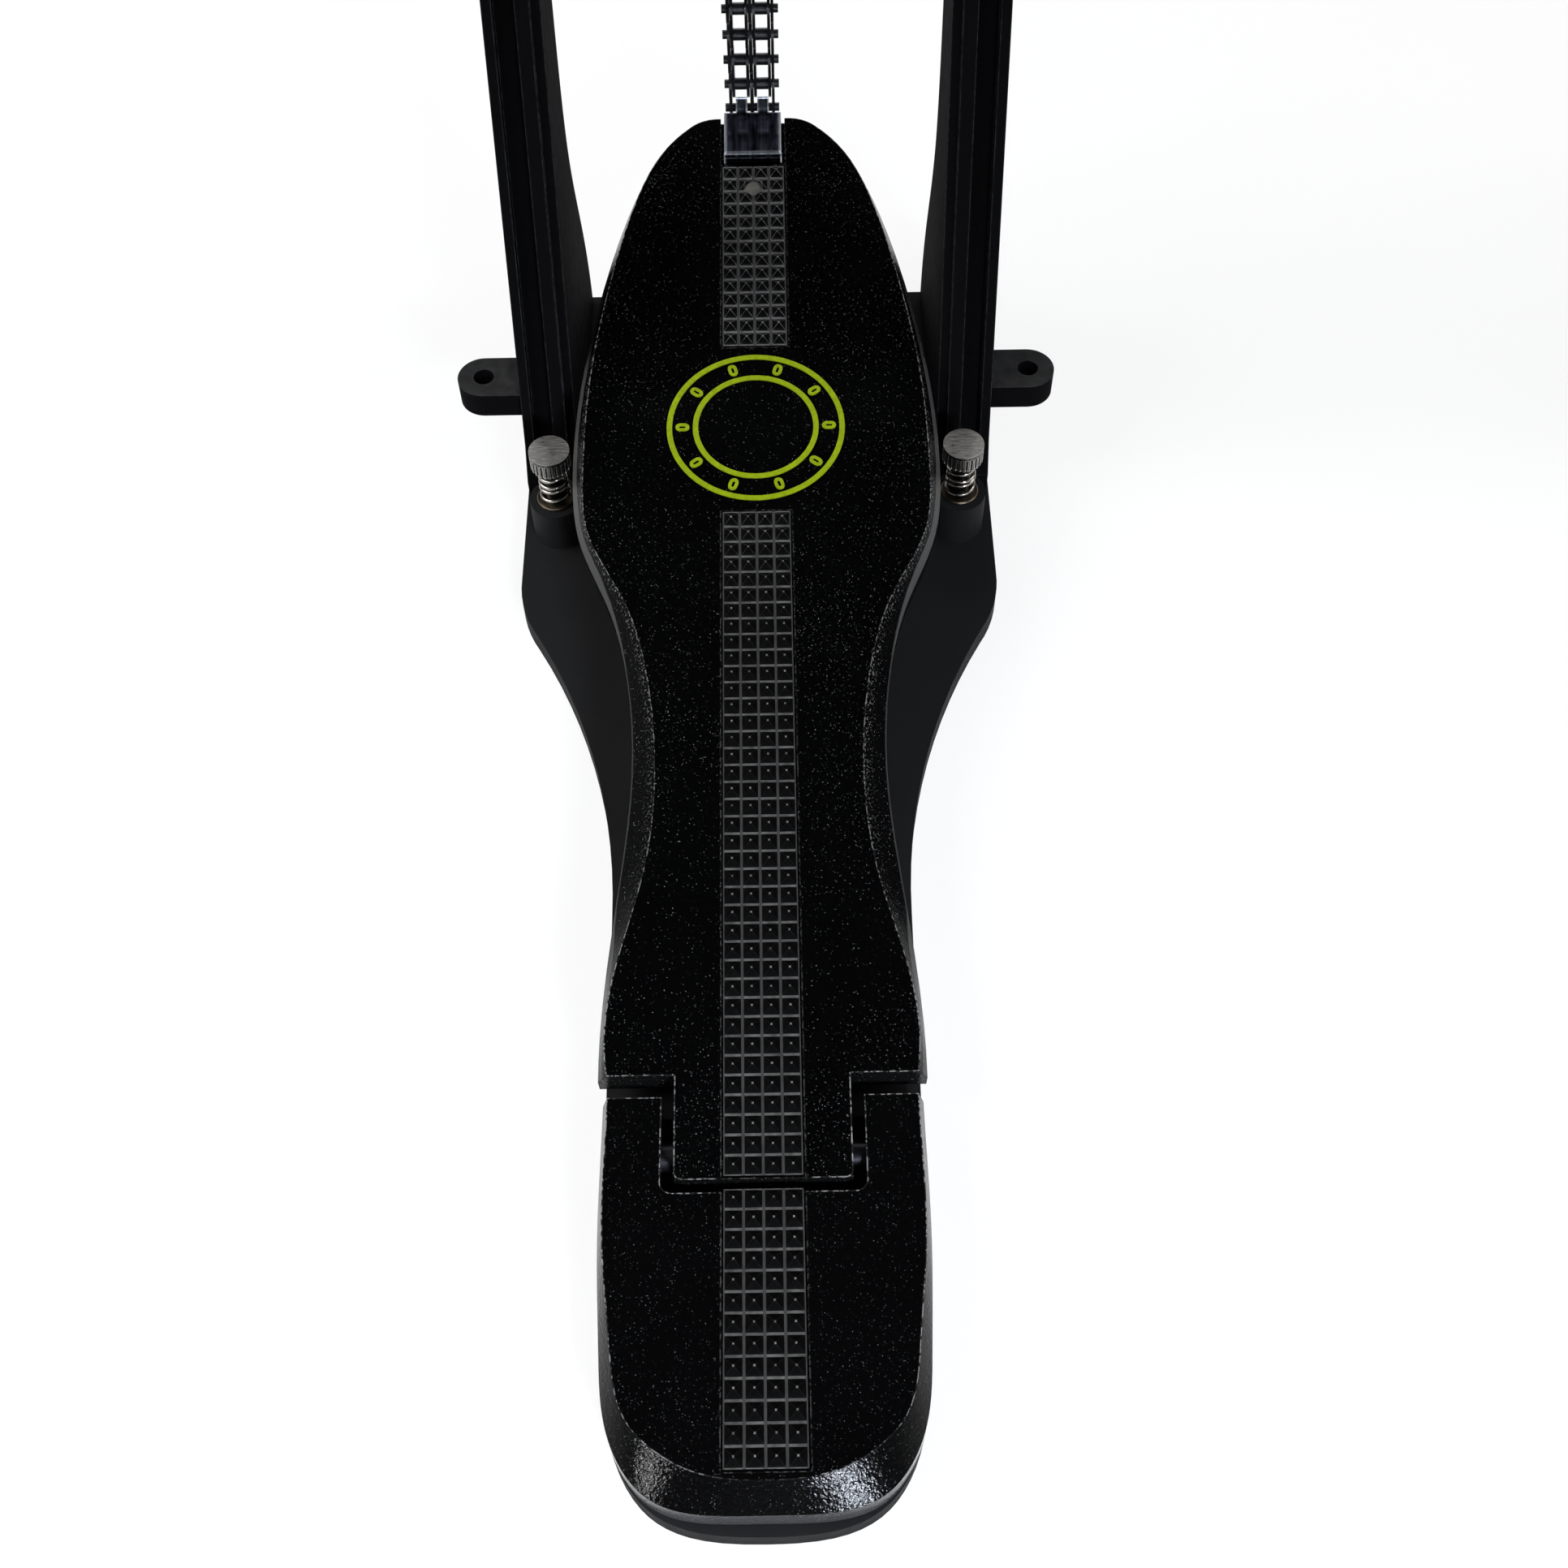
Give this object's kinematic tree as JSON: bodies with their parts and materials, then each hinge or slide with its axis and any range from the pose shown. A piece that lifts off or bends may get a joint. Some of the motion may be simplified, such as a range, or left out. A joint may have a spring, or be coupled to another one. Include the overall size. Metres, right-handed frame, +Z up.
{
  "type": "double bass drum pedal",
  "caption": "Double bass drum pedal: two hinged hourglass footboards on base plates with chain-driven cams, a telescopic drive shaft, twin felt beaters and a hoop clamp.",
  "frame": {"origin": "on the floor, on the right pedal's centre line below its footboard's hinge pin", "axes": "+Z up, +Y towards the drum, +X to the player's right"},
  "size_m": [0.4825, 0.4026, 0.3038],
  "materials": {
    "sparkle_black": "black powder coat with a fine metallic sparkle",
    "charcoal": "matte charcoal paint",
    "satin_black": "satin black paint on cast posts",
    "tread_rubber": "moulded black tread",
    "mat_rubber": "ribbed black floor rubber",
    "bright_steel": "bright plated steel",
    "nickel": "nickel plate",
    "steel": "ground steel",
    "chain_black": "blackened chain steel",
    "cast_grey": "satin cast alloy",
    "felt": "pressed wool felt"
  },
  "bodies": {
    "right_frame": {"right_floor_mat": "mat_rubber", "right_base_plate": "charcoal", "right_heel_plate": "sparkle_black", "right_heel_tread": "tread_rubber", "right_hinge_pin": "steel", "right_post_inner": "satin_black", "right_post_outer": "satin_black", "right_bearings": "steel", "right_spur_springs": "nickel", "tension_bolts": "nickel", "hoop_clamp_base": "charcoal"},
    "left_frame": {"left_floor_mat": "mat_rubber", "left_base_plate": "charcoal", "left_heel_plate": "sparkle_black", "left_heel_tread": "tread_rubber", "left_hinge_pin": "steel", "left_post_inner": "satin_black", "left_post_outer": "satin_black", "left_bearings": "steel", "left_spur_springs": "nickel"},
    "left_drive": {"left_axle": "steel", "left_cam": "cast_grey", "left_yoke": "cast_grey", "left_cross": "steel", "shaft_rod": "steel"},
    "left_beater_drive": {"left_beater_axle": "steel", "left_beater_hub": "cast_grey", "right_yoke": "cast_grey", "right_cross": "steel", "shaft_tube": "charcoal"},
    "right_drive": {"right_axle": "steel", "right_cam": "cast_grey", "right_spring_arm": "cast_grey", "right_beater_hub": "cast_grey"},
    "left_beater": {"left_beater_rod": "bright_steel", "left_beater_head": "felt"},
    "right_beater": {"right_beater_rod": "bright_steel", "right_beater_head": "felt"},
    "left_spring": {"left_return_spring": "bright_steel"},
    "right_spring": {"right_return_spring": "bright_steel"},
    "hoop_jaw": {"hoop_clamp_jaw": "charcoal"},
    "hoop_screw": {"hoop_clamp_screw": "nickel"},
    "left_board": {"left_footboard": "sparkle_black", "left_board_tread": "tread_rubber", "left_chain_clip": "bright_steel"},
    "left_chain": {"left_chain_span": "chain_black"},
    "left_link_1": {"left_chain_link_1": "chain_black"},
    "left_link_2": {"left_chain_link_2": "chain_black"},
    "left_link_3": {"left_chain_link_3": "chain_black"},
    "left_inner_spur": {"left_spur_inner": "nickel"},
    "left_outer_spur": {"left_spur_outer": "nickel"},
    "right_board": {"right_footboard": "sparkle_black", "right_board_tread": "tread_rubber", "right_chain_clip": "bright_steel"},
    "right_chain": {"right_chain_span": "chain_black"},
    "right_link_1": {"right_chain_link_1": "chain_black"},
    "right_link_2": {"right_chain_link_2": "chain_black"},
    "right_link_3": {"right_chain_link_3": "chain_black"},
    "right_inner_spur": {"right_spur_inner": "nickel"},
    "right_outer_spur": {"right_spur_outer": "nickel"}
  },
  "joints": [
    {"name": "pedal_spacing", "type": "slide", "parent": "right_frame", "child": "left_frame", "axis": [1, 0, 0], "range_m": [-0.03, 0.02]},
    {"name": "left_board_hinge", "type": "hinge", "parent": "left_frame", "child": "left_board", "pos_m": [-0.33, 0, 0.0125], "axis": [1, 0, 0], "range_deg": [-3.89, 0]},
    {"name": "left_axle_turn", "type": "hinge", "parent": "left_frame", "child": "left_drive", "pos_m": [-0.33, 0.2435, 0.15], "axis": [1, 0, 0], "range_deg": [-44.2, 0.2]},
    {"name": "left_chain_swing", "type": "hinge", "parent": "left_board", "child": "left_chain", "pos_m": [-0.33, 0.27827, 0.05363], "axis": [1, 0, 0], "range_deg": [-0.2, 4.21]},
    {"name": "left_link_1_pin", "type": "hinge", "parent": "left_chain", "child": "left_link_1", "pos_m": [-0.33, 0.26871, 0.14915], "axis": [1, 0, 0], "range_deg": [-3.3, 0.2]},
    {"name": "left_link_3_pin", "type": "hinge", "parent": "left_drive", "child": "left_link_3", "pos_m": [-0.33, 0.25847, 0.17002], "axis": [1, 0, 0], "range_deg": [-0.2, 6.33]},
    {"name": "left_link_2_pin", "type": "hinge", "parent": "left_link_3", "child": "left_link_2", "pos_m": [-0.33, 0.26403, 0.16427], "axis": [1, 0, 0], "range_deg": [-0.2, 18.3]},
    {"name": "left_inner_spur_screw", "type": "slide", "parent": "left_frame", "child": "left_inner_spur", "axis": [0, 0, 1], "range_m": [-0.005, 0], "deforming": ["left_spur_springs"]},
    {"name": "left_outer_spur_screw", "type": "slide", "parent": "left_frame", "child": "left_outer_spur", "axis": [0, 0, 1], "range_m": [-0.005, 0], "deforming": ["left_spur_springs"]},
    {"name": "right_board_hinge", "type": "hinge", "parent": "right_frame", "child": "right_board", "pos_m": [0, 0, 0.0125], "axis": [1, 0, 0], "range_deg": [-3.89, 0]},
    {"name": "right_axle_turn", "type": "hinge", "parent": "right_frame", "child": "right_drive", "pos_m": [0, 0.2435, 0.15], "axis": [1, 0, 0], "range_deg": [-44.2, 0.2], "stiffness_Nm_per_rad": 0.35, "springref_deg": 28.65},
    {"name": "right_chain_swing", "type": "hinge", "parent": "right_board", "child": "right_chain", "pos_m": [0, 0.27827, 0.05363], "axis": [1, 0, 0], "range_deg": [-0.2, 4.21]},
    {"name": "right_link_1_pin", "type": "hinge", "parent": "right_chain", "child": "right_link_1", "pos_m": [0, 0.26871, 0.14915], "axis": [1, 0, 0], "range_deg": [-3.3, 0.2]},
    {"name": "right_link_3_pin", "type": "hinge", "parent": "right_drive", "child": "right_link_3", "pos_m": [0, 0.25847, 0.17002], "axis": [1, 0, 0], "range_deg": [-0.2, 6.33]},
    {"name": "right_link_2_pin", "type": "hinge", "parent": "right_link_3", "child": "right_link_2", "pos_m": [0, 0.26403, 0.16427], "axis": [1, 0, 0], "range_deg": [-0.2, 18.3]},
    {"name": "right_inner_spur_screw", "type": "slide", "parent": "right_frame", "child": "right_inner_spur", "axis": [0, 0, 1], "range_m": [-0.005, 0], "deforming": ["right_spur_springs"]},
    {"name": "right_outer_spur_screw", "type": "slide", "parent": "right_frame", "child": "right_outer_spur", "axis": [0, 0, 1], "range_m": [-0.005, 0], "deforming": ["right_spur_springs"]},
    {"name": "left_beater_turn", "type": "hinge", "parent": "right_frame", "child": "left_beater_drive", "pos_m": [0, 0.2435, 0.15], "axis": [1, 0, 0], "range_deg": [-44.2, 0.2], "stiffness_Nm_per_rad": 0.35, "springref_deg": 28.65},
    {"name": "left_spring_swing", "type": "hinge", "parent": "right_frame", "child": "left_spring", "pos_m": [-0.0685, 0.2015, 0.05], "axis": [1, 0, 0], "range_deg": [-0.2, 5.84], "deforming": ["left_return_spring"]},
    {"name": "right_spring_swing", "type": "hinge", "parent": "right_frame", "child": "right_spring", "pos_m": [0.0685, 0.2015, 0.05], "axis": [1, 0, 0], "range_deg": [-0.2, 5.84], "deforming": ["right_return_spring"]},
    {"name": "left_beater_height", "type": "slide", "parent": "left_beater_drive", "child": "left_beater", "axis": [0, -0.6947, 0.7193], "range_m": [0, 0.014]},
    {"name": "right_beater_height", "type": "slide", "parent": "right_drive", "child": "right_beater", "axis": [0, -0.6947, 0.7193], "range_m": [0, 0.014]},
    {"name": "hoop_screw_turn", "type": "slide", "parent": "right_frame", "child": "hoop_screw", "axis": [0, 0, 1], "range_m": [-0.003, 0.002]},
    {"name": "hoop_jaw_pivot", "type": "hinge", "parent": "right_frame", "child": "hoop_jaw", "pos_m": [0, 0.293, 0.02], "axis": [1, 0, 0], "range_deg": [-14.6, 9.8]}
  ],
  "couplings": [
    {"joint": "left_axle_turn", "follows": "left_board_hinge", "ratio": 11.298},
    {"joint": "left_chain_swing", "follows": "left_board_hinge", "ratio": -1.0308},
    {"joint": "left_link_1_pin", "follows": "left_board_hinge", "ratio": 0.79646},
    {"joint": "left_link_3_pin", "follows": "left_board_hinge", "ratio": -1.575},
    {"joint": "left_link_2_pin", "follows": "left_board_hinge", "ratio": -4.648},
    {"joint": "right_axle_turn", "follows": "right_board_hinge", "ratio": 11.298},
    {"joint": "right_chain_swing", "follows": "right_board_hinge", "ratio": -1.0308},
    {"joint": "right_link_1_pin", "follows": "right_board_hinge", "ratio": 0.79646},
    {"joint": "right_link_3_pin", "follows": "right_board_hinge", "ratio": -1.575},
    {"joint": "right_link_2_pin", "follows": "right_board_hinge", "ratio": -4.648},
    {"joint": "left_beater_turn", "follows": "left_board_hinge", "ratio": 11.298},
    {"joint": "left_spring_swing", "follows": "left_board_hinge", "ratio": -1.4495},
    {"joint": "right_spring_swing", "follows": "right_board_hinge", "ratio": -1.4495},
    {"joint": "hoop_jaw_pivot", "follows": "hoop_screw_turn", "rad_per_m": 83.333}
  ]
}
